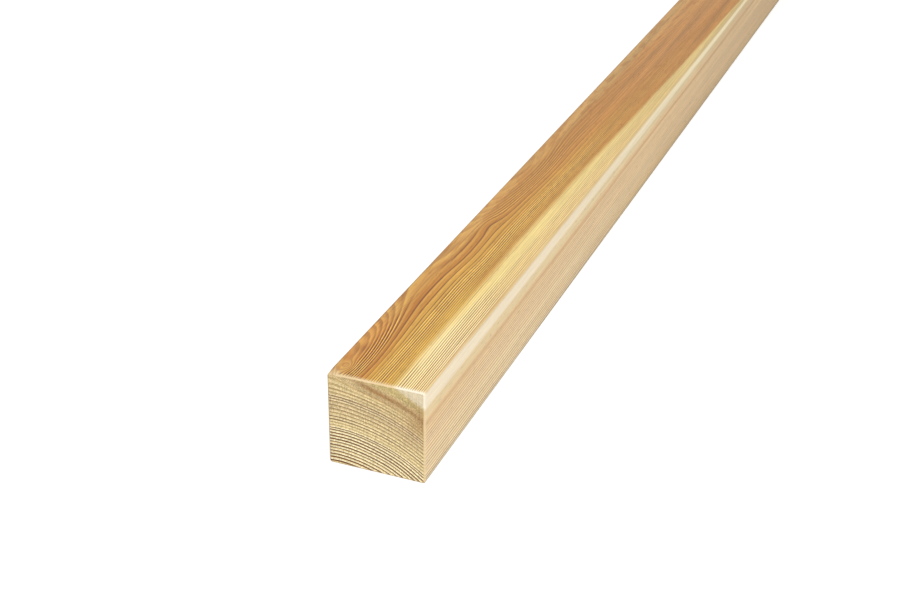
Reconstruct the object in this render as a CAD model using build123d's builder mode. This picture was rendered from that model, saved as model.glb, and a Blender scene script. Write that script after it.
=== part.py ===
"""Planed square softwood batten, cut to a stock length.

Millimetres. X runs along the grain, Y across it and Z up.
The origin is the middle of the underside, on the floor that the batten lies on.
"""

import os

from build123d import *

# Stock size as sold, planed all round
LENGTH = 2000.0
WIDTH = 45.0
THICKNESS = 45.0

# Long edges: the small round that the planer leaves on each of the four arrises
ARRIS_RADIUS = 1.0

# Saw-cut ends: the flat taken off each edge of an end, measured along either face
END_EASE = 0.6

os.makedirs("parts", exist_ok=True)

with BuildPart() as batten:
    # Planed section with its rounded arrises, run through from end to end
    with BuildSketch(Plane.YZ.offset(-LENGTH / 2)) as section:
        with Locations((0, THICKNESS / 2)):
            RectangleRounded(WIDTH, THICKNESS, ARRIS_RADIUS)
    extrude(amount=LENGTH)

    # Side view: takes the flats off the upper and lower edges of both ends
    with BuildSketch(Plane.XZ) as side_view:
        with Locations((0, THICKNESS / 2)):
            Rectangle(LENGTH, THICKNESS)
        chamfer(side_view.vertices(), END_EASE)
    extrude(amount=WIDTH, both=True, mode=Mode.INTERSECT)

    # Plan: takes the flats off the two upright edges of both ends, mitred with the others at the corners
    with BuildSketch(Plane.XY) as plan:
        Rectangle(LENGTH, WIDTH)
        chamfer(plan.vertices(), END_EASE)
    extrude(amount=THICKNESS, mode=Mode.INTERSECT)

batten.part.label = "batten"
export_step(batten.part, "parts/batten.step")
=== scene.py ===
"""Dresses the planed larch batten: its grain, its finish and the studio that shows it."""

import math

import bpy
import numpy as np
from bpy.props import FloatProperty, FloatVectorProperty, IntProperty, PointerProperty
from bpy.types import NodeSocket, Operator, Panel, PropertyGroup
from mathutils import Matrix, Vector


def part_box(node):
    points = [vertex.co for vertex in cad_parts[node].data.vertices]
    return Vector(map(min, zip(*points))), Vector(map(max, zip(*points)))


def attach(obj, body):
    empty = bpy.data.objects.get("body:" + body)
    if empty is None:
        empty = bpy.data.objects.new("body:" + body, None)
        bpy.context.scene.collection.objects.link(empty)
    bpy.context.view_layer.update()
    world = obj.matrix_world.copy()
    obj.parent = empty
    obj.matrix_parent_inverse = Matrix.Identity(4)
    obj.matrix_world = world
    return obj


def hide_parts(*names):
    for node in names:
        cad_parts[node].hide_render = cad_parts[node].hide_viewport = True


bl_info = {
    "name": "Larch Batten",
    "version": (1, 0, 0),
    "blender": (4, 5, 0),
    "location": "3D View > Sidebar > Batten",
    "description": "Models a planed square larch batten and lights it in a white studio",
    "category": "Object",
}

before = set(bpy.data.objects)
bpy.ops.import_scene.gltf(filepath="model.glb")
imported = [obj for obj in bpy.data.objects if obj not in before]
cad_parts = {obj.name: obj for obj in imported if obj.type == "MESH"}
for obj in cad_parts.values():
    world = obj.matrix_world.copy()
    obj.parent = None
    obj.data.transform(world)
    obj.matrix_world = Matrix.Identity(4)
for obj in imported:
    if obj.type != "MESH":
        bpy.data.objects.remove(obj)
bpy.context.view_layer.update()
LOW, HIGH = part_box("batten")
SIZE = HIGH - LOW
MIDDLE = (LOW + HIGH) / 2

MM = 0.001
PER_MM = 1000.0

# Rings counted outwards from the oldest wood: distance from the pith in millimetres, rings so far
RING_COUNT = (
    (25.0, 0.0),
    (50.4, 13.85),
    (56.75, 17.85),
    (64.25, 22.85),
    (65.25, 23.85),
    (71.0, 27.85),
    (78.7, 31.85),
    (81.2, 33.85),
    (84.4, 35.85),
    (87.6, 37.85),
    (89.5, 42.0),
    (91.77, 48.0),
    (93.96, 51.0),
    (94.4, 52.0),
    (98.3, 62.0),
    (108.0, 81.0),
)

# How strongly each run of years is marked: distance from the pith in millimetres, contrast
YEAR_CONTRAST = (
    (25.0, 1.0),
    (65.6, 1.0),
    (65.9, 0.4),
    (68.6, 0.4),
    (69.0, 0.85),
    (71.3, 0.85),
    (71.8, 0.5),
    (78.9, 0.5),
    (79.2, 1.0),
    (81.5, 1.0),
    (82.0, 0.4),
    (83.4, 0.4),
    (83.7, 0.45),
    (85.6, 0.4),
    (86.0, 0.25),
    (88.0, 0.25),
    (88.8, 1.0),
    (95.6, 1.0),
    (96.6, 0.5),
    (98.3, 0.5),
    (98.8, 1.0),
    (108.0, 1.0),
)

# Where rings dip under the top, in millimetres: from the near end, from the back face, length, width, depth
DIPS = (
    (14.0, 3.0, 44.0, 13.0, 3.1),
    (9.0, 5.5, 3.5, 2.5, 0.8),
    (130.0, 15.0, 24.0, 12.0, 0.45),
    (167.0, 10.0, 12.0, 5.0, -0.5),
    (235.0, 3.0, 60.0, 13.0, 2.4),
)

# Resin flecks of the top, in millimetres: from the nearer end, from the back, length, width; strength
FLECKS = (
    (25.0, 5.1, 4.2, 2.4, 1.0),
    (57.0, 5.0, 3.0, 3.5, 0.4),
)

# Where the sapwood on the top swells or narrows, in millimetres: from the near end, length, gain in width
SAP_SWELLS = (
    (165.0, 90.0, 0.8),
    (430.0, 130.0, -1.2),
)

# Brown streaks of the ends: distance from the pith and half width in millimetres, strength
END_STREAKS = (
    (81.2, 0.6, 0.3),
    (84.25, 0.5, 0.45),
    (87.7, 0.8, 0.5),
    (90.7, 1.5, 0.9),
)

# Brown patch of the ends, in millimetres: from the back, above the underside, width, height; strength
END_STAIN = (45.0, 30.0, 9.0, 8.0, 0.65)

# Wanders: wave lengths along the grain, millimetres across it, share in the rings and in the sapwood's edge
WANDERS = (
    (4.0, 40.0, 3.0, 0.15),
    (1.0, 14.0, 2.0, 0.1),
)

# Grain finer than a ring, or passing over rings: length and width in millimetres, detail
FIBRES = {
    "Streak": (70.0, 0.9, 3.0),
    "Speck": (20.0, 0.5, 1.0),
    "Fibre": (9.0, 0.22, 1.0),
    "Cloud": (220.0, 16.0, 1.0),
    "Band": (300.0, 4.5, 1.0),
    "Mottle": (16.0, 3.6, 1.0),
}

# Resin canals: length and width in millimetres, and the chances between which they come to show
CANAL_SIZE = (5.0, 0.35)
CANAL_CHANCE = (0.7, 0.78)

# Saw marks of the ends, in millimetres: across and up
SAW_SIZE = (0.7, 12.0)

# Drift of tone between years, in millimetres: outwards, across and along
DRIFT_SIZE = (1.1, 14.0, 300.0)

# Runs of years: the distances from the pith, in millimetres, between which each begins or ends
BROWN_BEGIN = (87.9, 88.9)
CROWDED_BEGIN = (88.3, 89.3)
WIDE_BEGIN = (91.5, 91.8)
WIDE_END = (94.1, 94.4)

# Finishes by their place in the batten's list
PLANED, SAWN, EASED = range(3)

# Edges whose ends lie closer than this, in metres across an axis, run straight along it
STRAIGHT = 1e-6

# Facets that meet at less than this angle are shaded as one surface
SMOOTH_ANGLE = math.radians(35)

# Map of the faces, as shares of its side: space between them, side of an end
MAP_GAP = 0.006
MAP_END = 0.16

# Studio in metres: the floor's side, the lamps' places and aim from the near end's upper edge, their sides
FLOOR_SIDE = 16.0
OVERHEAD_PLACE = Vector((-0.5, -0.4, 1.15))
OVERHEAD_AIM = Vector((0.15, 0.0, 0.0))
OVERHEAD_SIDE = 0.8
FRONT_PLACE = Vector((-0.65, -0.85, 0.3))
FRONT_SIDE = 0.6

# Camera: width of its sensor in millimetres, nearest and farthest distance that it sees in metres
SENSOR_WIDTH = 36.0
CLIP_START = 0.01
CLIP_END = 50.0


def from_screen(red, green, blue):
    """A colour as a screen shows it, 0 to 255, in the linear values that shaders take."""
    shares = (value / 255 for value in (red, green, blue))
    return tuple(s / 12.92 if s <= 0.04045 else ((s + 0.055) / 1.055) ** 2.4 for s in shares)


def length_property(name, description, default):
    return FloatProperty(name=name, description=description, default=default, unit="LENGTH", precision=5)


def angle_property(name, description, degrees):
    return FloatProperty(name=name, description=description, default=math.radians(degrees), subtype="ANGLE")


def number_property(name, description, default, unit="NONE"):
    return FloatProperty(name=name, description=description, default=default, unit=unit)


def count_property(name, description, default):
    return IntProperty(name=name, description=description, default=default)


def colour_property(name, description, red, green, blue):
    return FloatVectorProperty(
        name=name,
        description=description,
        default=from_screen(red, green, blue),
        size=3,
        subtype="COLOR",
        min=0,
        max=1,
    )


class BattenShape(PropertyGroup):
    """Edges and relief of the batten's surface"""

    arris_radius: length_property("Arris radius", "Round along each long edge", 1.0 * MM)
    arris_steps: count_property("Arris steps", "Facets across each rounded edge", 4)
    end_ease: length_property("End ease", "Flat taken off each edge of an end, along either face", 0.6 * MM)
    knock_along: length_property("Knock along", "Knocked corner's reach along the arris", 10 * MM)
    knock_across: length_property("Knock across", "Knocked corner's reach across the top", 5 * MM)
    knock_down: length_property("Knock down", "Knocked corner's reach down the end", 1.3 * MM)
    cells_across: count_property("Cells across", "Mesh cells across each face", 96)
    fine_reach: length_property("Fine reach", "Length of the fine mesh behind the near end", 240 * MM)
    mid_reach: length_property("Middle reach", "Where the mesh turns coarse", 800 * MM)
    fine_cell: length_property("Fine cell", "Cell length in the fine mesh", 5 * MM)
    mid_cell: length_property("Middle cell", "Cell length in the middle mesh", 10 * MM)
    coarse_cell: length_property("Coarse cell", "Cell length in the coarse mesh", 16 * MM)
    face_relief: length_property("Face relief", "Depth of the soft wood on planed faces", 0.03 * MM)
    end_relief: length_property("End relief", "Depth of the soft wood on sawn ends", 0.1 * MM)


class LarchGrowth(PropertyGroup):
    """How the batten lay in its log"""

    pith_across: length_property("Pith across", "Pith's distance from the back face", 4.3 * MM)
    pith_below: length_property("Pith below", "Pith's depth under the underside", 47 * MM)
    lean_from: length_property("Lean from", "Ring radius beyond which rings grow off centre", 70 * MM)
    lean: number_property("Lean", "How far outer rings grow off centre", 0.35)
    sweep: length_property("Sweep", "Half of how far the rings drift outwards along the log", 5.76 * MM)
    sweep_length: length_property("Sweep length", "Length in which that drift comes and goes", 2400 * MM)
    waviness: length_property("Waviness", "How far rings wander", 0.25 * MM)
    wave_length: length_property("Wave length", "Length along the grain of one wander", 60 * MM)
    dip_reach: length_property("Dip reach", "How far below the top the dips are felt", 5 * MM)
    marking_near: length_property("Marking near", "Where the rings begin to be marked less", 210 * MM)
    marking_far: length_property("Marking far", "Where the rings are marked least", 370 * MM)
    marking_back: length_property("Marking back", "Where the rings are marked in full again", 1100 * MM)
    tone_near: length_property("Tone near", "Where the wood begins to turn browner along the log", 100 * MM)
    tone_far: length_property("Tone far", "Where the wood is brownest", 500 * MM)
    sap_on_top: length_property("Sapwood on top", "Width of sapwood on the top at the near end", 13.1 * MM)
    sap_on_front: length_property("Sapwood on front", "Depth of sapwood on the front there", 8.1 * MM)
    sap_top_loss: length_property("Top loss", "Width lost as the log sweeps", 10.4 * MM)
    sap_front_loss: length_property("Front loss", "Depth lost as the log sweeps", 3.5 * MM)


class LarchColours(PropertyGroup):
    """Colours of the planed faces, the sawn ends and the eased edges"""

    flat_heart: colour_property("Flat heart", "Younger heartwood cut along its rings", 214, 161, 64)
    flat_edge: colour_property("Flat heart edge", "Last heartwood before the sapwood", 217, 168, 66)
    flat_old: colour_property("Flat old heart", "Older heartwood cut along its rings", 199, 138, 52)
    flat_back: colour_property("Flat back edge", "Heartwood of the top beside the back", 214, 165, 93)
    flat_back_far: colour_property("Flat far back edge", "The same further along the log", 197, 157, 96)
    flat_far: colour_property("Flat far heart", "Younger heartwood further along", 190, 132, 61)
    flat_old_far: colour_property("Flat far old heart", "Older heartwood further along", 200, 144, 78)
    flat_late: colour_property("Flat latewood", "Dark lines on flat-cut heartwood", 108, 50, 4)
    flat_early: colour_property("Flat earlywood", "Pale lines on flat-cut heartwood", 250, 209, 107)
    flat_sap: colour_property("Flat sapwood", "Sapwood cut along its rings", 242, 215, 138)
    flat_sap_edge: colour_property("Flat sap edge", "Sapwood of the top beside the front", 236, 199, 126)
    flat_sap_far: colour_property("Flat far sapwood", "Sapwood further along the log", 220, 190, 122)
    flat_sap_late: colour_property("Flat sap lines", "Dark lines on flat-cut sapwood", 146, 82, 14)
    flat_sap_early: colour_property("Flat sap earlywood", "Pale lines on flat-cut sapwood", 255, 242, 186)
    rift_heart: colour_property("Rift heart", "Heartwood cut across its rings", 231, 197, 145)
    rift_inner: colour_property("Rift old heart", "Oldest heartwood cut across its rings", 239, 215, 166)
    rift_inner_far: colour_property("Rift far old heart", "The same further along the log", 218, 185, 136)
    # Painted shade: the front darkens towards the underside, more so further along the log.
    rift_foot_shade: colour_property("Rift low heart", "Heartwood of the front by the underside", 202, 168, 108)
    rift_outer: colour_property("Rift heart edge", "Last rift-cut heartwood", 231, 208, 158)
    rift_late: colour_property("Rift latewood", "Dark lines on rift-cut heartwood", 166, 122, 70)
    rift_early: colour_property("Rift earlywood", "Pale lines on rift-cut heartwood", 248, 228, 190)
    rift_sap: colour_property("Rift sapwood", "Sapwood cut across its rings", 245, 231, 202)
    # Painted light: the front's sapwood is brighter further along, making up for the lamps' falloff.
    rift_sap_far: colour_property("Rift far sapwood", "The same further along the log", 252, 236, 194)
    brown_tint: colour_property("Brown tint", "What the brown years do to the heartwood", 231, 210, 188)
    red_tint: colour_property("Red tint", "What the reddest years do to the heartwood", 255, 240, 220)
    resin_tint: colour_property("Resin tint", "What a resin fleck does to the heartwood", 232, 233, 243)
    end_heart: colour_property("End heart", "Sawn end of the heartwood", 216, 189, 138)
    end_inner: colour_property("End old heart", "Sawn end of the oldest heartwood", 236, 211, 152)
    end_outer: colour_property("End heart edge", "Sawn end of the last heartwood", 209, 186, 126)
    end_late: colour_property("End latewood", "Dark rings on the sawn end", 104, 54, 14)
    end_early: colour_property("End earlywood", "Pale rings on the sawn end", 255, 244, 206)
    end_brown: colour_property("End brown", "Browner streaks of the sawn end", 164, 120, 72)
    end_sap: colour_property("End sapwood", "Sawn end of the sapwood", 232, 216, 184)
    # Partly painted highlight: these pale rim colours also stand for light caught along the eased edges.
    rubbed_highlit_heart: colour_property("Eased heart", "Rubbed edges round the ends, on heartwood", 234, 208, 162)
    rubbed_highlit_sap: colour_property("Eased sapwood", "Rubbed edges round the ends, on sapwood", 250, 240, 217)
    # Painted shade as well as wear: this dark colour darkens the long edges and the back and lower rims of
    # the ends.
    arris_wear_and_shade: colour_property("Darkened arris", "Handled long edges of the heartwood", 112, 88, 60)
    # Painted shade as well as wear: darkens the sapwood's long edges and damps their highlight.
    sap_arris_wear_and_shade: colour_property("Darkened sapwood", "Handled long edges of the sapwood", 206, 178, 131)
    # Painted shade: the sides darken just above the underside, where the floor's contact shade falls.
    shade_by_underside: colour_property("Darkened foot", "Sides soiled beside the underside", 150, 140, 108)


class StudioView(PropertyGroup):
    """Camera, lamps and floor"""

    turn: angle_property("Turn", "How far the view is turned from the batten's length", 21.643)
    tilt: angle_property("Tilt", "How far the view looks down", 27.556)
    roll: angle_property("Roll", "How far the camera leans", 0.524)
    lens: number_property("Lens", "Focal length on the camera's sensor", 60.48, "CAMERA")
    right: length_property("Right", "Picture's middle, right of the near lower back corner", 52.53 * MM)
    up: length_property("Up", "Picture's middle, above the near lower back corner", 70.6 * MM)
    distance: length_property("Distance", "Camera's distance from that corner along the view", 659.9 * MM)
    sky: number_property("Sky", "Strength of the light from all round", 0.65)
    key: number_property("Key", "Power of the overhead lamp", 7.8, "POWER")
    fill: number_property("Fill", "Power of the lamp on the front side", 3.4, "POWER")
    floor_glow: number_property("Floor glow", "Light that the floor adds where it is seen", 0.6)
    floor: colour_property("Floor", "White paper floor", 208, 208, 208)


class Wiring:
    """Adds nodes to one tree. A value is a number, a vector or another node's output."""

    def __init__(self, tree):
        self.tree = tree

    def feed(self, socket, value):
        if isinstance(value, NodeSocket):
            self.tree.links.new(value, socket)
        else:
            socket.default_value = value

    def add(self, kind, *values, **settings):
        node = self.tree.nodes.new(kind)
        for name, setting in settings.items():
            setattr(node, name, setting)
        for socket, value in zip(node.inputs, values):
            if value is not None:
                self.feed(socket, value)
        return node

    def math(self, operation, *values):
        return self.add("ShaderNodeMath", *values, operation=operation).outputs[0]

    def total(self, *values):
        result = values[0]
        for value in values[1:]:
            result = self.math("ADD", result, value)
        return result

    def product(self, *values):
        result = values[0]
        for value in values[1:]:
            result = self.math("MULTIPLY", result, value)
        return result

    def less(self, value, taken):
        return self.math("SUBTRACT", value, taken)

    def over(self, value, divisor):
        return self.math("DIVIDE", value, divisor)

    def ease(self, value, start, end):
        """0 before start, 1 after end, with a smooth step between."""
        node = self.add("ShaderNodeMapRange", value, start, end, 0.0, 1.0, interpolation_type="SMOOTHSTEP")
        return node.outputs[0]

    def fall(self, value, start, end):
        """1 before start, 0 after end, with a smooth step between."""
        return self.less(1.0, self.ease(value, start, end))

    def within(self, value, begin, end):
        """1 inside a run that begins and ends with a smooth step, and 0 outside it."""
        return self.product(self.ease(value, *begin), self.fall(value, *end))

    def spread(self, value, low, high):
        """A value from 0 to 1, spread from low to high."""
        return self.add("ShaderNodeMapRange", value, 0.0, 1.0, low, high).outputs[0]

    def vector(self, x, y, z):
        return self.add("ShaderNodeCombineXYZ", x, y, z).outputs[0]

    def split(self, vector):
        return self.add("ShaderNodeSeparateXYZ", vector).outputs

    def noise(self, vector, detail=0.0):
        """Smooth chance from 0 to 1 that changes over about one unit of the vector."""
        node = self.add("ShaderNodeTexNoise", noise_dimensions="3D")
        self.feed(node.inputs["Vector"], vector)
        self.feed(node.inputs["Scale"], 1.0)
        self.feed(node.inputs["Detail"], detail)
        return node.outputs[0]

    def grain(self, along, across, up, length, width, detail=0.0):
        """Chance in streaks of about this length along the grain and this width across it."""
        place = self.vector(self.over(along, length), self.over(across, width), self.over(up, width))
        return self.noise(place, detail)

    def centred(self, chance):
        """A chance from 0 to 1, moved to lie evenly about 0."""
        return self.less(chance, 0.5)

    def chance(self, number):
        """One fixed chance from 0 to 1 for each whole number."""
        node = self.add("ShaderNodeTexWhiteNoise", noise_dimensions="1D")
        self.feed(node.inputs["W"], number)
        return node.outputs[0]

    def curve(self, value, points):
        """Straight runs through (value, result) points."""
        first, last = points[0][0], points[-1][0]
        top = max(result for _, result in points)
        node = self.add("ShaderNodeFloatCurve")
        line = node.mapping.curves[0]
        for place, result in points[1:-1]:
            line.points.new((place - first) / (last - first), result / top)
        line.points[0].location = (0.0, points[0][1] / top)
        line.points[-1].location = (1.0, points[-1][1] / top)
        for point in line.points:
            point.handle_type = "VECTOR"
        node.mapping.update()
        share = self.add("ShaderNodeMapRange", value, first, last, 0.0, 1.0).outputs[0]
        self.feed(node.inputs["Value"], share)
        return self.product(node.outputs[0], top)

    def hill(self, value, middle, width):
        """1 at the middle, falling off smoothly to both sides."""
        away = self.over(self.less(value, middle), width)
        return self.math("EXPONENT", self.product(away, away, -1.0))

    def blend(self, first, second, share, kind="MIX"):
        """One colour over another by a share from 0 to 1."""
        node = self.add("ShaderNodeMix", data_type="RGBA", blend_type=kind, clamp_factor=True)
        self.feed(node.inputs["Factor"], share)
        colours = [socket for socket in node.inputs if socket.type == "RGBA"]
        for socket, colour in zip(colours, (first, second)):
            self.feed(socket, colour if isinstance(colour, NodeSocket) else (*colour, 1.0))
        return next(socket for socket in node.outputs if socket.type == "RGBA")

    def grey(self, value):
        """A colour of three equal values."""
        return self.add("ShaderNodeCombineColor", value, value, value).outputs[0]


def ring_field(w, position, growth):
    """Growth rings through the whole batten, in millimetres, at a position in metres.

    Returns the values that follow the rings: their year's latewood and earlywood, the sapwood, the
    direction from the pith across and up, the distance from it with and without the log's sweep, a drift
    of tone between years, and how far along the log the point lies, from 0 to 1.
    """
    along, across, up = w.split(position)
    from_end = w.product(w.less(along, LOW.x), PER_MM)
    from_back = w.product(w.less(HIGH.y, across), PER_MM)
    above = w.product(w.less(up, LOW.z), PER_MM)
    height = SIZE.z * PER_MM
    width = SIZE.y * PER_MM

    out = w.less(from_back, growth.pith_across * PER_MM)
    rise = w.total(above, growth.pith_below * PER_MM)
    reach = w.math("SQRT", w.total(w.product(out, out), w.product(rise, rise)))
    beyond = w.math("MAXIMUM", w.less(reach, growth.lean_from * PER_MM), 0.0)
    lean = w.product(beyond, w.over(out, reach), growth.lean)

    turn = w.product(from_end, math.tau / (growth.sweep_length * PER_MM))
    swept = w.less(1.0, w.math("COSINE", turn))
    sweep = w.product(swept, growth.sweep * PER_MM)

    wave = growth.wave_length * PER_MM
    wander = growth.waviness * PER_MM
    waves = 0.0
    ragged = 0.0
    for wave_lengths, wave_width, ring_share, sap_share in WANDERS:
        sway = w.centred(w.grain(from_end, from_back, above, wave_lengths * wave, wave_width))
        waves = w.total(waves, w.product(sway, ring_share * wander))
        ragged = w.total(ragged, w.product(sway, sap_share))

    below_top = w.hill(above, height, growth.dip_reach * PER_MM)
    dipped = 0.0
    for dip_along, dip_across, dip_length, dip_width, dip_depth in DIPS:
        dip = w.product(
            w.hill(from_end, dip_along, dip_length),
            w.hill(from_back, dip_across, dip_width),
            below_top,
            dip_depth,
        )
        dipped = w.total(dipped, dip)

    still = w.total(reach, lean, waves)
    radius = w.less(still, w.total(sweep, dipped))
    count = w.curve(radius, RING_COUNT)
    year = w.math("FLOOR", count)
    season = w.less(count, year)
    luck = w.chance(year)
    fades = w.ease(from_end, growth.marking_near * PER_MM, growth.marking_far * PER_MM)
    returns = w.ease(from_end, growth.marking_far * 2 * PER_MM, growth.marking_back * PER_MM)
    faded = w.spread(w.less(fades, returns), 1.0, 0.2)
    top_side = w.ease(above, height - 8.0, height - 1.5)
    top_back = w.product(w.fall(from_back, 6.0, 10.5), top_side)
    plain = w.product(top_back, w.ease(from_end, 0.7, 4.0))
    bold = w.spread(w.ease(from_end, 60.0, 140.0), 1.3, 1.1)
    dense = w.product(w.fall(radius, 91.2, 91.8), w.ease(from_end, 130.0, 200.0))
    contrast = w.product(
        w.curve(radius, YEAR_CONTRAST),
        w.spread(luck, 0.75, 1.0),
        faded,
        w.spread(plain, 1.0, 0.25),
        w.spread(w.ease(above, 0.3, 1.5), 0.55, 1.0),
        w.spread(w.product(dense, w.ease(radius, 88.3, 88.8)), 1.0, 0.5),
        bold,
    )
    wide = w.within(radius, WIDE_BEGIN, WIDE_END)
    contrast = w.math("MINIMUM", w.product(contrast, w.spread(wide, 1.0, 0.78)), 1.0)
    crowded = w.product(w.fall(radius, *WIDE_BEGIN), w.fall(from_end, 40.0, 70.0), top_side)
    turns_late = w.total(
        w.spread(w.chance(w.total(year, 0.5)), 0.46, 0.61),
        w.product(wide, 0.18),
        w.product(crowded, -0.08),
    )
    darkens = w.ease(season, turns_late, w.total(turns_late, 0.22))
    late = w.product(darkens, w.fall(season, 0.95, 1.0), contrast)
    early = w.product(w.fall(season, 0.15, 0.5), contrast, w.spread(wide, 1.0, 0.35))

    top_width = w.less(growth.sap_on_top * PER_MM, w.product(swept, growth.sap_top_loss * PER_MM))
    for middle, length, gain in SAP_SWELLS:
        top_width = w.total(top_width, w.product(w.hill(from_end, middle, length), gain))
    front_depth = w.less(growth.sap_on_front * PER_MM, w.product(swept, growth.sap_front_loss * PER_MM))
    in_from_front = w.over(w.less(width, from_back), w.math("MAXIMUM", top_width, 0.5))
    down_from_top = w.over(w.less(height, above), w.math("MAXIMUM", front_depth, 0.5))
    sap = w.fall(w.total(in_from_front, down_from_top, ragged), 0.84, 1.2)
    drift_ways = (radius, from_back, from_end)
    between_years = w.vector(*(w.over(way, size) for way, size in zip(drift_ways, DRIFT_SIZE)))
    return {
        "Latewood": late,
        "Earlywood": early,
        "Sapwood": sap,
        "Out": w.over(out, reach),
        "Rise": w.over(rise, reach),
        "Radius": radius,
        "Still": still,
        "Drift": w.noise(between_years, 1.0),
        "Far": w.ease(from_end, growth.tone_near * PER_MM, growth.tone_far * PER_MM),
    }


def fibre_field(w, position):
    """What is finer than a ring, or passes over rings: fibre streaks, canals, clouds of tone, saw marks."""
    along, across, up = (w.product(part, PER_MM) for part in w.split(position))
    values = {name: w.grain(along, across, up, *size) for name, size in FIBRES.items()}
    values["Canal"] = w.ease(w.grain(along, across, up, *CANAL_SIZE), *CANAL_CHANCE)
    marks = w.vector(0.0, w.over(across, SAW_SIZE[0]), w.over(up, SAW_SIZE[1]))
    values["Saw"] = w.noise(marks, 1.0)
    return values


def depth_field(w, position):
    """Depths below the nearer end, the back, the front, the top and the underside, in millimetres."""
    along, across, up = w.split(position)
    back = w.product(w.less(HIGH.y, across), PER_MM)
    under = w.product(w.less(up, LOW.z), PER_MM)
    return {
        "End": w.product(w.less(SIZE.x / 2, w.math("ABSOLUTE", w.less(along, MIDDLE.x))), PER_MM),
        "Back": back,
        "Front": w.less(SIZE.y * PER_MM, back),
        "Top": w.less(SIZE.z * PER_MM, under),
        "Under": under,
    }


def effect_group(name, values_at, *settings):
    """Shader group that turns a position into named values, shared by all the batten's finishes."""
    tree = bpy.data.node_groups.new(name, "ShaderNodeTree")
    tree.interface.new_socket("Position", in_out="INPUT", socket_type="NodeSocketVector")
    inside = tree.nodes.new("NodeGroupInput")
    outside = tree.nodes.new("NodeGroupOutput")
    w = Wiring(tree)
    for title, value in values_at(w, inside.outputs["Position"], *settings).items():
        tree.interface.new_socket(title, in_out="OUTPUT", socket_type="NodeSocketFloat")
        w.feed(outside.inputs[title], value)
    return tree


def new_finish(name, effects):
    """A node material with its wiring, its coordinates, its shader and the shared effects placed in it."""
    material = bpy.data.materials.new(name)
    material.use_nodes = True
    wiring = Wiring(material.node_tree)
    shader = next(node for node in material.node_tree.nodes if node.type == "BSDF_PRINCIPLED")
    place = wiring.add("ShaderNodeTexCoord").outputs
    placed = []
    for tree in effects:
        group = wiring.add("ShaderNodeGroup", node_tree=tree)
        wiring.feed(group.inputs["Position"], place["Object"])
        placed.append(group.outputs)
    return material, wiring, place, shader, placed


def add_bump(w, shader, height, distance):
    """Relief too fine for the mesh, which the light still catches."""
    bump = w.add("ShaderNodeBump")
    bump.inputs["Strength"].default_value = 1.0
    bump.inputs["Distance"].default_value = distance
    w.feed(bump.inputs["Height"], height)
    w.feed(shader.inputs["Normal"], bump.outputs["Normal"])


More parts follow.
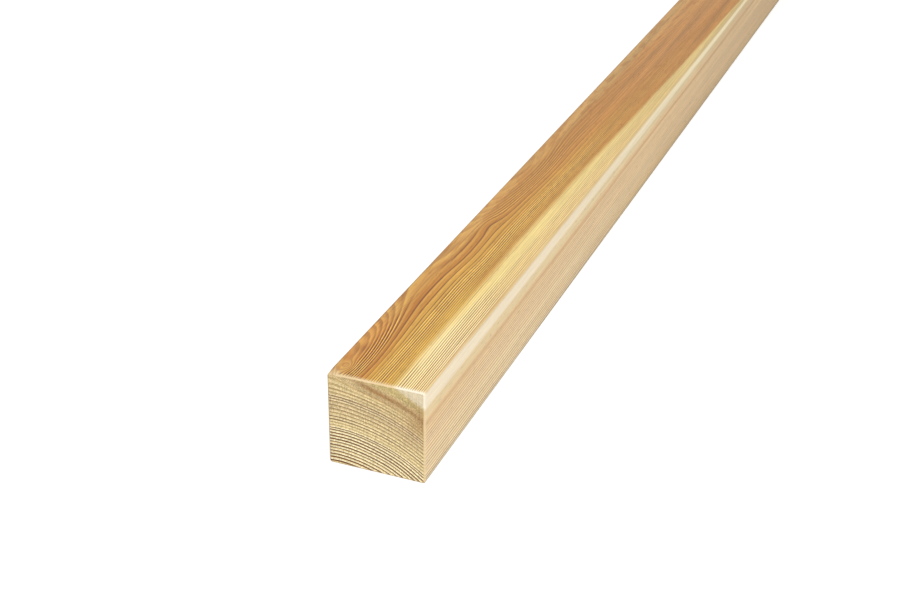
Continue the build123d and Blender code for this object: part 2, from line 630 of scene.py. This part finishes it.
def heart_tone(w, rings, fibre, depth, flat, colours):
    """Heartwood of the planed faces: tones by ring and along the log, brown years, dark and pale lines."""
    radius = rings["Radius"]
    far = rings["Far"]
    turned = w.product(w.ease(depth["End"], 85.0, 115.0), 0.85)
    edge = w.blend(colours.flat_edge, colours.flat_old, turned)
    young = w.blend(colours.flat_heart, edge, w.ease(radius, 95.8, 97.4))
    young = w.blend(young, colours.flat_far, far)
    old = w.blend(colours.flat_old, colours.flat_old_far, far)
    flat_heart = w.blend(old, young, w.ease(radius, 91.6, 94.0))
    beside_back = w.fall(depth["Back"], 4.0, 11.0)
    paler_near = w.spread(w.ease(depth["End"], 30.0, 60.0), 0.3, 0.0)
    paler_far = w.spread(w.ease(depth["End"], 90.0, 180.0), 0.45, 0.8)
    back_share = w.product(beside_back, w.total(paler_near, paler_far))
    flat_heart = w.blend(flat_heart, w.blend(colours.flat_back, colours.flat_back_far, far), back_share)
    inner = w.blend(colours.rift_inner, colours.rift_inner_far, far)
    rift_heart = w.blend(inner, colours.rift_heart, w.ease(radius, 70.0, 80.0))
    rift_heart = w.blend(rift_heart, colours.rift_outer, w.ease(radius, 91.0, 92.6))
    # Painted shade: the front's lower part darkens, a little by the near end and more further along.
    shade_grows_far = w.spread(w.ease(depth["End"], 130.0, 240.0), 0.05, 0.5)
    low = w.product(w.ease(depth["Top"], 34.0, 41.0), shade_grows_far)
    rift_heart = w.blend(rift_heart, colours.rift_foot_shade, low)
    heart = w.blend(rift_heart, flat_heart, flat)

    flat_brown = w.within(radius, BROWN_BEGIN, (92.5, 94.0))
    flat_brown = w.product(flat_brown, w.ease(depth["Back"], 5.0, 9.0), flat)
    browner_near = w.spread(w.ease(depth["End"], 75.0, 100.0), 1.0, 0.62)
    halfway = w.less(rings["Still"], w.product(w.less(rings["Still"], radius), 0.45))
    rift_brown = w.within(halfway, (87.7, 89.2), (89.9, 91.4))
    rift_brown = w.product(rift_brown, w.less(1.0, flat), 0.72)
    brown = w.total(w.product(flat_brown, browner_near, w.spread(far, 1.0, 0.6)), rift_brown)
    skin = w.fall(depth["Top"], 0.3, 1.5)
    resin = 0.0
    for fleck_along, fleck_across, length, width, strength in FLECKS:
        fleck = w.product(
            w.hill(depth["End"], fleck_along, length),
            w.hill(depth["Back"], fleck_across, width),
            skin,
            strength,
        )
        resin = w.math("MAXIMUM", resin, fleck)
    brown = w.math("MAXIMUM", brown, resin)
    cloud = w.product(w.ease(fibre["Cloud"], 0.45, 0.75), w.spread(flat, 0.2, 0.4))
    by_back = w.fall(depth["Back"], 8.0, 14.0)
    mottle = w.product(w.ease(fibre["Mottle"], 0.46, 0.64), w.spread(flat, 0.1, 0.3))
    mottle = w.product(mottle, w.spread(by_back, 1.0, 2.5))
    browned = w.math("MAXIMUM", w.math("MAXIMUM", brown, cloud), mottle)
    heart = w.blend(heart, colours.brown_tint, browned, "MULTIPLY")

    reddest = w.product(w.within(radius, BROWN_BEGIN, (91.2, 92.0)), flat)
    reddest = w.product(reddest, w.ease(depth["End"], 8.0, 18.0), w.fall(depth["End"], 40.0, 65.0))
    resolved = w.less(1.0, w.product(w.ease(radius, *CROWDED_BEGIN), w.less(1.0, flat), 0.85))
    lines = w.product(w.math("POWER", rings["Latewood"], w.spread(flat, 0.7, 1.0)), resolved)
    heart = w.blend(heart, w.blend(colours.rift_late, colours.flat_late, flat), lines)
    pale = w.blend(colours.rift_early, colours.flat_early, flat)
    heart = w.blend(heart, pale, w.product(rings["Earlywood"], w.spread(flat, 0.8, 0.9), resolved))
    heart = w.blend(heart, colours.red_tint, reddest, "MULTIPLY")
    return w.blend(heart, colours.resin_tint, resin, "MULTIPLY")


def sap_tone(w, rings, depth, arris, flat, colours):
    """Sapwood of the planed faces: paler, with finer lines that leave the arris clear."""
    far = rings["Far"]
    flat_sap = w.blend(colours.flat_sap, colours.flat_sap_edge, w.ease(depth["Back"], 35.0, 44.0))
    flat_sap = w.blend(flat_sap, colours.flat_sap_far, far)
    flat_sap = w.blend(flat_sap, colours.rubbed_highlit_sap, w.product(w.hill(depth["End"], 38.0, 26.0), 0.2))
    lines_from = w.spread(w.ease(depth["End"], 50.0, 150.0), 34.3, 37.5)
    clear = w.fall(w.less(depth["Back"], lines_from), -1.0, 1.0)
    clear = w.product(clear, w.ease(depth["End"], 10.0, 30.0))
    marked = w.product(w.spread(clear, 1.0, 0.25), w.spread(arris, 1.0, 0.4))
    marked = w.product(marked, w.spread(w.ease(depth["End"], 85.0, 115.0), 1.0, 0.6))
    flat_sap = w.blend(flat_sap, colours.flat_sap_early, w.product(rings["Earlywood"], marked, 0.8))
    flat_sap = w.blend(flat_sap, colours.flat_sap_late, w.product(rings["Latewood"], marked))
    # Painted light: the front's sapwood is made brighter further along, against the lamps' falloff.
    rift_sap = w.blend(colours.rift_sap, colours.rift_sap_far, far)
    rift_sap = w.blend(rift_sap, colours.rift_heart, w.product(rings["Latewood"], 0.5))
    carried = w.product(w.fall(depth["Top"], 0.3, 2.5), w.ease(depth["End"], 25.0, 60.0))
    return w.blend(rift_sap, flat_sap, w.math("MAXIMUM", flat, carried))


def edge_wear_and_painted_light(w, wood, rings, depth, arris, position, shape, colours):
    """Long edges darkened by wear and painted shade, painted shade just above the underside, wood rubbed
    pale beside the ends with a painted highlight, and the pale knocked corner.
    """
    # Painted shade with some wear: the rounded long edges are darkened.
    worn_and_shaded = w.blend(colours.arris_wear_and_shade, colours.sap_arris_wear_and_shade, rings["Sapwood"])
    wood = w.blend(wood, worn_and_shaded, w.product(arris, w.spread(rings["Sapwood"], 0.6, 0.55)))
    # Painted shade: a band just above the underside darkens, standing for contact shade by the floor.
    foot = w.product(w.within(depth["Under"], (0.05, 0.8), (1.2, 4.2)), 0.4)
    wood = w.blend(wood, colours.shade_by_underside, foot)

    place, slope = knock_plane(shape)
    from_corner = w.add("ShaderNodeVectorMath", position, tuple(place), operation="SUBTRACT").outputs[0]
    outward = w.add("ShaderNodeVectorMath", from_corner, tuple(slope), operation="DOT_PRODUCT")
    beside_knock = w.ease(w.product(outward.outputs["Value"], PER_MM), -0.8, 0.1)
    knocked = w.product(beside_knock, w.fall(depth["End"], 0.5, 6.5), 0.7)
    # Pale rubbed wood beside the ends, partly a painted highlight along the rims.
    rubbed = w.product(w.fall(depth["End"], 0.4, 2.8), 0.55)
    pale = w.blend(colours.rubbed_highlit_heart, colours.rubbed_highlit_sap, rings["Sapwood"])
    return w.blend(wood, pale, w.math("MAXIMUM", rubbed, knocked))


def planed_finish(effects, colours, shape):
    """Planed long faces: warm where the cut follows the rings, pale where it crosses them."""
    material, w, place, shader, (rings, fibre, depth) = new_finish("planed_larch", effects)
    facing = w.split(place["Normal"])
    along_ring = w.less(w.product(facing[2], rings["Rise"]), w.product(facing[1], rings["Out"]))
    flat = w.ease(w.math("ABSOLUTE", along_ring), 0.7, 0.93)
    beside_side = w.math("MINIMUM", depth["Back"], depth["Front"])
    beside_level = w.math("MINIMUM", depth["Top"], depth["Under"])
    arris = w.fall(w.math("MAXIMUM", beside_side, beside_level), 0.4, 1.4)

    heart = heart_tone(w, rings, fibre, depth, flat, colours)
    wood = w.blend(heart, sap_tone(w, rings, depth, arris, flat, colours), rings["Sapwood"])
    flecked = w.spread(flat, 0.5, 1.0)
    streaks = w.total(
        w.product(w.centred(fibre["Streak"]), flecked, 0.5),
        w.product(w.centred(fibre["Speck"]), flecked, 0.45),
        w.product(w.centred(fibre["Band"]), flecked, w.spread(rings["Far"], 0.1, 0.75)),
        w.product(w.centred(rings["Drift"]), 0.18),
        1.0,
    )
    wood = w.blend(wood, w.grey(streaks), 1.0, "MULTIPLY")
    canals = w.product(fibre["Canal"], w.spread(rings["Sapwood"], 0.35, 0.1))
    wood = w.blend(wood, colours.flat_late, canals)
    wood = edge_wear_and_painted_light(w, wood, rings, depth, arris, place["Object"], shape, colours)
    w.feed(shader.inputs["Base Color"], wood)

    w.feed(shader.inputs["Roughness"], w.spread(rings["Latewood"], 0.56, 0.46))
    shader.inputs["Specular IOR Level"].default_value = 0.45
    height = w.total(w.product(rings["Latewood"], 0.5), fibre["Fibre"], w.product(fibre["Streak"], 0.6))
    add_bump(w, shader, height, 0.015 * MM)
    return material


def end_stain(w, rings, depth):
    """Where the sawn ends are stained brown: along some years, and in one soft patch."""
    across, up, width, height, strength = END_STAIN
    patch = w.product(w.hill(depth["Back"], across, width), w.hill(depth["Under"], up, height), strength)
    streaks = 0.0
    for radius, half_width, strength in END_STREAKS:
        streaks = w.total(streaks, w.product(w.hill(rings["Radius"], radius, half_width), strength))
    browner_front = w.spread(w.ease(depth["Back"], 8.0, 22.0), 0.3, 1.0)
    streaks = w.product(streaks, w.spread(rings["Drift"], 0.5, 1.3), browner_front)
    return w.math("MAXIMUM", streaks, patch)


def sawn_finish(effects, colours):
    """Saw-cut ends: dark and cream rings on dry, open end grain."""
    material, w, _, shader, (rings, fibre, depth) = new_finish("sawn_larch_end", effects)
    radius = rings["Radius"]
    wood = w.blend(colours.end_inner, colours.end_heart, w.ease(radius, 68.0, 78.0))
    wood = w.blend(wood, colours.end_outer, w.ease(radius, 92.6, 94.4))
    dry_years = w.within(radius, (80.5, 83.0), (88.0, 90.0))
    wood = w.blend(wood, colours.end_inner, w.product(dry_years, 0.65))
    resolved = w.spread(w.ease(radius, *CROWDED_BEGIN), 1.0, 0.2)
    wood = w.blend(wood, colours.end_late, w.product(rings["Latewood"], resolved))
    cream = w.product(w.spread(w.ease(radius, 64.0, 72.0), 1.0, 0.6), resolved)
    wood = w.blend(wood, colours.end_early, w.product(rings["Earlywood"], cream))
    wood = w.blend(wood, colours.end_brown, end_stain(w, rings, depth))
    wood = w.blend(wood, colours.end_sap, w.product(rings["Sapwood"], 0.9))
    # Painted shade: the end darkens towards its back edge.
    beside_back = w.product(w.fall(depth["Back"], 0.4, 5.0), w.ease(depth["Top"], 5.0, 11.0))
    wood = w.blend(wood, colours.arris_wear_and_shade, w.product(beside_back, 0.12))
    speckled = w.spread(rings["Sapwood"], 1.0, 0.35)
    speckle = w.total(
        w.product(w.centred(fibre["Streak"]), speckled, 1.0),
        w.product(w.centred(fibre["Speck"]), speckled, 1.3),
        w.product(w.centred(fibre["Saw"]), 0.4),
        w.product(w.centred(rings["Drift"]), 0.35),
        1.0,
    )
    wood = w.blend(wood, w.grey(speckle), 1.0, "MULTIPLY")
    w.feed(shader.inputs["Base Color"], wood)

    w.feed(shader.inputs["Roughness"], w.spread(rings["Latewood"], 0.82, 0.62))
    shader.inputs["Specular IOR Level"].default_value = 0.25
    height = w.total(fibre["Fibre"], w.product(rings["Latewood"], 0.5))
    add_bump(w, shader, height, 0.05 * MM)
    return material


def eased_finish(effects, colours):
    """Edges round the ends, rubbed pale with abrasive paper and given a painted highlight, with painted
    shade on the back and lower rims.
    """
    material, w, _, shader, (rings, fibre, depth) = new_finish("eased_larch_edge", effects)
    wood = w.blend(colours.rubbed_highlit_heart, colours.rubbed_highlit_sap, rings["Sapwood"])
    wood = w.blend(wood, colours.end_brown, w.product(rings["Latewood"], 0.3))
    # The front rim's half by the end keeps the end's colour: less rubbed and without the painted highlight.
    less_rubbed_no_highlight = w.within(depth["Front"], (0.2, 0.45), (0.6, 0.7))
    wood = w.blend(wood, colours.end_heart, w.product(less_rubbed_no_highlight, w.spread(rings["Sapwood"], 0.8, 0.0)))
    # Painted shade: the back and lower rims of the ends are darkened.
    shadowed = w.fall(w.math("MINIMUM", depth["Back"], depth["Under"]), 0.4, 1.2)
    wood = w.blend(wood, colours.arris_wear_and_shade, w.product(shadowed, 0.3))
    speckle = w.total(w.product(w.centred(fibre["Fibre"]), 0.3), 1.0)
    wood = w.blend(wood, w.grey(speckle), 1.0, "MULTIPLY")
    w.feed(shader.inputs["Base Color"], wood)
    w.feed(shader.inputs["Roughness"], w.spread(fibre["Fibre"], 0.6, 0.8))
    shader.inputs["Specular IOR Level"].default_value = 0.3
    return material


def relief_tree(growth, shape):
    """Geometry nodes that sink the soft wood between the rings below the hard wood."""
    tree = bpy.data.node_groups.new("raised_grain", "GeometryNodeTree")
    tree.interface.new_socket("Geometry", in_out="INPUT", socket_type="NodeSocketGeometry")
    tree.interface.new_socket("Geometry", in_out="OUTPUT", socket_type="NodeSocketGeometry")
    inside = tree.nodes.new("NodeGroupInput")
    outside = tree.nodes.new("NodeGroupOutput")
    w = Wiring(tree)
    position = w.add("GeometryNodeInputPosition").outputs[0]
    normal = w.add("GeometryNodeInputNormal").outputs[0]
    rings = ring_field(w, position, growth)
    facing = w.math("ABSOLUTE", w.split(normal)[0])
    depth = w.spread(w.ease(facing, 0.3, 0.9), shape.face_relief, shape.end_relief)
    sunk = w.product(w.less(rings["Latewood"], 1.0), depth)
    offset = w.add("ShaderNodeVectorMath", normal, operation="SCALE")
    w.feed(offset.inputs["Scale"], sunk)
    moved = w.add("GeometryNodeSetPosition")
    w.feed(moved.inputs["Geometry"], inside.outputs["Geometry"])
    w.feed(moved.inputs["Offset"], offset.outputs[0])
    w.feed(outside.inputs["Geometry"], moved.outputs[0])
    return tree


def select_edges(piece, wanted):
    """Selects the edges whose two ends answer the question, and nothing else, in edit mode."""
    bpy.ops.mesh.select_mode(type="EDGE")
    bpy.ops.mesh.select_all(action="DESELECT")
    bpy.ops.object.mode_set(mode="OBJECT")
    points = [vertex.co for vertex in piece.data.vertices]
    for edge in piece.data.edges:
        edge.select = wanted(*(points[index] for index in edge.vertices))
    bpy.ops.object.mode_set(mode="EDIT")


def runs_along(axis):
    """A question for select_edges: does an edge run straight along this axis?"""
    others = [other for other in range(3) if other != axis]

    def wanted(start, end):
        return all(abs(start[other] - end[other]) < STRAIGHT for other in others)

    return wanted


def cut_lengthwise_cells(piece, shape):
    """Cuts the batten across its length: fine cells near the end that is seen, coarser ones beyond."""
    stops = (LOW.x, LOW.x + shape.fine_reach, LOW.x + shape.mid_reach, HIGH.x)
    cells = (shape.fine_cell, shape.mid_cell, shape.coarse_cell)
    for stop in stops[1:-1]:
        bpy.ops.mesh.select_all(action="SELECT")
        bpy.ops.mesh.bisect(plane_co=(stop, 0, 0), plane_no=(1, 0, 0))
    lengthwise = runs_along(0)
    for start, end, cell in zip(stops, stops[1:], cells):

        def in_reach(first, second):
            middle = (first.x + second.x) / 2
            return lengthwise(first, second) and start < middle < end

        select_edges(piece, in_reach)
        bpy.ops.mesh.subdivide(number_cuts=round((end - start) / cell) - 1)


def model_blank(shape):
    """A squared blank at its size and place, with rounded edges and a fine even skin of cells."""
    bpy.ops.object.select_all(action="DESELECT")
    bpy.ops.mesh.primitive_cube_add(size=1.0, location=MIDDLE, scale=SIZE)
    piece = bpy.context.object
    piece.name = "larch_batten"
    piece.data.name = "larch_batten"
    bpy.ops.object.transform_apply(location=True, rotation=True, scale=True)
    bpy.ops.object.mode_set(mode="EDIT")
    lengthwise = runs_along(0)
    select_edges(piece, lambda start, end: not lengthwise(start, end))
    bpy.ops.mesh.bevel(offset=shape.end_ease, segments=1, affect="EDGES")
    select_edges(piece, lengthwise)
    bpy.ops.mesh.bevel(offset=shape.arris_radius, segments=shape.arris_steps, affect="EDGES")
    cut_lengthwise_cells(piece, shape)
    for axis in (1, 2):
        select_edges(piece, runs_along(axis))
        bpy.ops.mesh.subdivide(number_cuts=shape.cells_across - 1)
    knock_corner(shape)
    bpy.ops.object.mode_set(mode="OBJECT")
    return piece


def knock_plane(shape):
    """A point on the knocked flat and the direction it faces."""
    corner = Vector((LOW.x, HIGH.y, HIGH.z))
    slope = Vector((-1 / shape.knock_along, 1 / shape.knock_across, 1 / shape.knock_down))
    return corner - Vector((0, 0, shape.knock_down)), slope.normalized()


def knock_corner(shape):
    """Takes the knocked flat off the near end's upper back corner, in edit mode."""
    place, slope = knock_plane(shape)
    bpy.ops.mesh.select_all(action="SELECT")
    bpy.ops.mesh.bisect(plane_co=place, plane_no=slope, clear_outer=True, use_fill=True)


def raise_grain(piece, growth, shape):
    """Gives the skin its relief and applies it."""
    modifier = piece.modifiers.new("raised_grain", "NODES")
    modifier.node_group = relief_tree(growth, shape)
    bpy.ops.object.modifier_apply(modifier=modifier.name)
    bpy.ops.object.shade_smooth_by_angle(angle=SMOOTH_ANGLE)


def spread_finishes(piece, finishes, shape):
    """Planed faces, sawn ends and eased edges each get their own finish."""
    for finish in finishes:
        piece.data.materials.append(finish)
    centres = np.empty(len(piece.data.polygons) * 3)
    piece.data.polygons.foreach_get("center", centres)
    inward = np.array(SIZE) / 2 - np.abs(centres.reshape(-1, 3) - np.array(MIDDLE))
    # Middles of eased facets lie less deep than this below both an end and a side
    reach = shape.end_ease * 0.9
    at_end = inward[:, 0] < reach
    at_rim = np.minimum(inward[:, 1], inward[:, 2]) < reach
    slots = np.where(at_end, np.where(at_rim, EASED, SAWN), PLANED)
    piece.data.polygons.foreach_set("material_index", slots.astype(np.int32))


def lay_out_map(piece):
    """A map with the four long faces stacked as bands of the full length, and the two ends below them."""
    mesh = piece.data
    layer = mesh.uv_layers.new(name="OFBake")
    corners = len(mesh.loops)
    vertex_of = np.empty(corners, np.int32)
    mesh.loops.foreach_get("vertex_index", vertex_of)
    points = np.empty(len(mesh.vertices) * 3)
    mesh.vertices.foreach_get("co", points)
    shares = ((points.reshape(-1, 3) - np.array(LOW)) / np.array(SIZE))[vertex_of]
    normals = np.empty(len(mesh.polygons) * 3)
    mesh.polygons.foreach_get("normal", normals)
    totals = np.empty(len(mesh.polygons), np.int32)
    mesh.polygons.foreach_get("loop_total", totals)
    facing = np.repeat(normals.reshape(-1, 3), totals, axis=0)
    size = np.abs(facing)

    # Bands from the lowest up: top, underside, front, back
    gap = MAP_GAP
    end_side = MAP_END
    band = (1.0 - end_side - 6 * gap) / 4
    is_end = size[:, 0] > 0.5
    is_level = size[:, 2] >= size[:, 1]
    face = np.where(is_level, np.where(facing[:, 2] > 0, 0, 1), np.where(facing[:, 1] < 0, 2, 3))
    across = np.where(is_level, shares[:, 1], shares[:, 2])
    places = np.empty((corners, 2))
    places[:, 0] = gap + shares[:, 0] * (1.0 - 2 * gap)
    places[:, 1] = end_side + 2 * gap + face * (band + gap) + across * band
    end_left = np.where(facing[:, 0] < 0, gap, 0.5 + gap)
    places[is_end, 0] = (end_left + shares[:, 1] * end_side)[is_end]
    places[is_end, 1] = (gap + shares[:, 2] * end_side)[is_end]
    layer.data.foreach_set("uv", places.ravel())


class BATTEN_OT_model(Operator):
    """Model the batten with its grain and finish it as planed larch"""

    bl_idname = "batten.model"
    bl_label = "Model Batten"
    bl_options = {"REGISTER", "UNDO"}

    def execute(self, context):
        shape = context.scene.batten_shape
        growth = context.scene.larch_growth
        colours = context.scene.larch_colours
        piece = model_blank(shape)
        raise_grain(piece, growth, shape)
        effects = (
            effect_group("growth_rings", ring_field, growth),
            effect_group("wood_fibre", fibre_field),
            effect_group("face_depths", depth_field),
        )
        finishes = (
            planed_finish(effects, colours, shape),
            sawn_finish(effects, colours),
            eased_finish(effects, colours),
        )
        spread_finishes(piece, finishes, shape)
        lay_out_map(piece)
        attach(piece, "root")
        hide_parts("batten")
        return {"FINISHED"}


def seen_directly(wiring):
    """1 where a surface is seen, also in gloss or through glass, and 0 where it only gives light."""
    path = wiring.add("ShaderNodeLightPath").outputs
    seen = wiring.math("MAXIMUM", path["Is Camera Ray"], path["Is Glossy Ray"])
    return wiring.math("MAXIMUM", seen, path["Is Transmission Ray"])


def floor_finish(studio):
    """White paper that keeps shadows, lifted to white where it is seen."""
    material = bpy.data.materials.new("white_floor")
    material.use_nodes = True
    tree = material.node_tree
    tree.nodes.clear()
    w = Wiring(tree)
    paper = w.add("ShaderNodeBsdfDiffuse", (*studio.floor, 1.0))
    glow = w.add("ShaderNodeEmission", (1.0, 1.0, 1.0, 1.0), w.product(seen_directly(w), studio.floor_glow))
    both = w.add("ShaderNodeAddShader", paper.outputs[0], glow.outputs[0])
    w.add("ShaderNodeOutputMaterial", both.outputs[0])
    return material


def lay_floor(studio):
    bpy.ops.object.select_all(action="DESELECT")
    bpy.ops.mesh.primitive_plane_add(size=FLOOR_SIDE, location=(MIDDLE.x, MIDDLE.y, LOW.z))
    floor = bpy.context.object
    floor.name = "studio_floor"
    bpy.ops.object.transform_apply(location=True, rotation=True, scale=True)
    floor.data.materials.append(floor_finish(studio))


def light_world(studio):
    world = bpy.data.worlds.new("studio_sky")
    bpy.context.scene.world = world
    world.use_nodes = True
    w = Wiring(world.node_tree)
    sky = next(node for node in world.node_tree.nodes if node.type == "BACKGROUND")
    sky.inputs["Color"].default_value = (1.0, 1.0, 1.0, 1.0)
    w.feed(sky.inputs["Strength"], w.spread(seen_directly(w), studio.sky, 1.0))


def hang_lamp(name, place, aim, side, power):
    """A square soft lamp that looks at a point."""
    bpy.ops.object.select_all(action="DESELECT")
    bpy.ops.object.light_add(type="AREA", location=place)
    lamp = bpy.context.object
    lamp.name = name
    lamp.data.shape = "SQUARE"
    lamp.data.size = side
    lamp.data.energy = power
    lamp.rotation_euler = (aim - place).to_track_quat("-Z", "Y").to_euler()


def set_camera(studio):
    """Stands the camera where the batten's edges run as in the photograph."""
    turn, tilt = studio.turn, studio.tilt
    right = Vector((math.sin(turn), -math.cos(turn), 0))
    back = Vector((-math.cos(turn) * math.cos(tilt), -math.sin(turn) * math.cos(tilt), math.sin(tilt)))
    up = back.cross(right)
    leaned_right = right * math.cos(studio.roll) + up * math.sin(studio.roll)
    leaned_up = up * math.cos(studio.roll) - right * math.sin(studio.roll)
    corner = Vector((LOW.x, HIGH.y, LOW.z))
    place = corner + leaned_right * studio.right + leaned_up * studio.up + back * studio.distance
    bpy.ops.object.select_all(action="DESELECT")
    bpy.ops.object.camera_add(location=place)
    camera = bpy.context.object
    camera.name = "studio_camera"
    camera.rotation_euler = Matrix((leaned_right, leaned_up, back)).transposed().to_euler()
    camera.data.sensor_width = SENSOR_WIDTH
    camera.data.lens = studio.lens
    camera.data.clip_start = CLIP_START
    camera.data.clip_end = CLIP_END
    bpy.context.scene.camera = camera


class BATTEN_OT_stage(Operator):
    """Lay the white floor, hang the lamps and stand the camera"""

    bl_idname = "batten.stage"
    bl_label = "Set Stage"
    bl_options = {"REGISTER", "UNDO"}

    def execute(self, context):
        studio = context.scene.studio_view
        context.scene.view_settings.view_transform = "Standard"
        lay_floor(studio)
        light_world(studio)
        near = Vector((LOW.x, MIDDLE.y, HIGH.z))
        hang_lamp("overhead_lamp", near + OVERHEAD_PLACE, near + OVERHEAD_AIM, OVERHEAD_SIDE, studio.key)
        hang_lamp("front_lamp", near + FRONT_PLACE, near, FRONT_SIDE, studio.fill)
        set_camera(studio)
        return {"FINISHED"}


class BATTEN_PT_panel(Panel):
    """Sidebar panel with the batten's steps"""

    bl_idname = "BATTEN_PT_panel"
    bl_label = "Larch Batten"
    bl_space_type = "VIEW_3D"
    bl_region_type = "UI"
    bl_category = "Batten"

    def draw(self, context):
        for operator in (BATTEN_OT_model, BATTEN_OT_stage):
            self.layout.operator(operator.bl_idname)


CLASSES = (
    BattenShape,
    LarchGrowth,
    LarchColours,
    StudioView,
    BATTEN_OT_model,
    BATTEN_OT_stage,
    BATTEN_PT_panel,
)

SETTINGS = {
    "batten_shape": BattenShape,
    "larch_growth": LarchGrowth,
    "larch_colours": LarchColours,
    "studio_view": StudioView,
}


def register():
    for each in CLASSES:
        bpy.utils.register_class(each)
    for name, group in SETTINGS.items():
        setattr(bpy.types.Scene, name, PointerProperty(type=group))


def unregister():
    for name in SETTINGS:
        delattr(bpy.types.Scene, name)
    for each in reversed(CLASSES):
        bpy.utils.unregister_class(each)


def main():
    register()
    bpy.ops.batten.model()
    bpy.ops.batten.stage()


if __name__ == "__main__":
    main()
